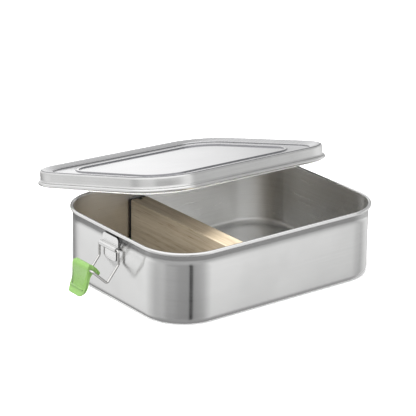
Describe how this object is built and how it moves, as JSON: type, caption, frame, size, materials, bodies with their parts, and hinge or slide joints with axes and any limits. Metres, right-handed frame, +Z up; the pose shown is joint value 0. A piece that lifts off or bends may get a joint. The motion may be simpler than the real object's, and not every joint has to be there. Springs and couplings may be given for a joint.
{
  "type": "lunch box",
  "caption": "Rounded rectangular steel lunch box with a lift-off pressed lid lying askew, a wooden divider across it and a wire bail latch with a moulded clip at each end.",
  "frame": {"origin": "centre of the container's flat underside, on the surface it stands on", "axes": "+X along the container's length towards the right-hand latch, +Y across its width towards the back, +Z up"},
  "size_m": [0.2654, 0.2198, 0.0959],
  "materials": {
    "container_steel": "stainless sheet brushed along the walls, polished rolled rim",
    "lid_steel": "stainless sheet, satin top and polished rolled edge",
    "seal_silicone": "pale matt silicone",
    "divider_wood": "plain light hardwood, grain along the board, unvarnished",
    "strip_rubber": "black matt silicone",
    "bracket_steel": "satin stainless sheet",
    "wire_steel": "bright drawn stainless wire",
    "clip_plastic": "lime green moulded plastic, semi-gloss"
  },
  "bodies": {
    "container": {"container": "container_steel", "bracket_left": "bracket_steel", "bracket_right": "bracket_steel"},
    "lid": {"lid": "lid_steel", "lid_seal": "seal_silicone"},
    "divider": {"divider": "divider_wood", "divider_strip_back": "strip_rubber", "divider_strip_front": "strip_rubber"},
    "bail_left": {"bail_left": "wire_steel"},
    "clip_left": {"clip_left": "clip_plastic"},
    "bail_right": {"bail_right": "wire_steel"},
    "clip_right": {"clip_right": "clip_plastic"}
  },
  "joints": [
    {"name": "lid_lift", "type": "slide", "parent": "container", "child": "lid", "axis": [0, 0, 1], "range_m": [0, 0.06]},
    {"name": "divider_slide", "type": "slide", "parent": "container", "child": "divider", "axis": [1, 0, 0], "range_m": [-0.032, 0.08]},
    {"name": "bail_left_swing", "type": "hinge", "parent": "container", "child": "bail_left", "pos_m": [-0.1024, 0, 0.043], "axis": [0, 1, 0], "range_deg": [0, 115]},
    {"name": "clip_left_turn", "type": "hinge", "parent": "bail_left", "child": "clip_left", "pos_m": [-0.1248, 0, 0.032], "axis": [0, 1, 0], "range_deg": [-110, 40]},
    {"name": "bail_right_swing", "type": "hinge", "parent": "container", "child": "bail_right", "pos_m": [0.1024, 0, 0.043], "axis": [0, -1, 0], "range_deg": [0, 70]},
    {"name": "clip_right_turn", "type": "hinge", "parent": "bail_right", "child": "clip_right", "pos_m": [0.1248, 0, 0.032], "axis": [0, -1, 0], "range_deg": [-110, 40]}
  ]
}
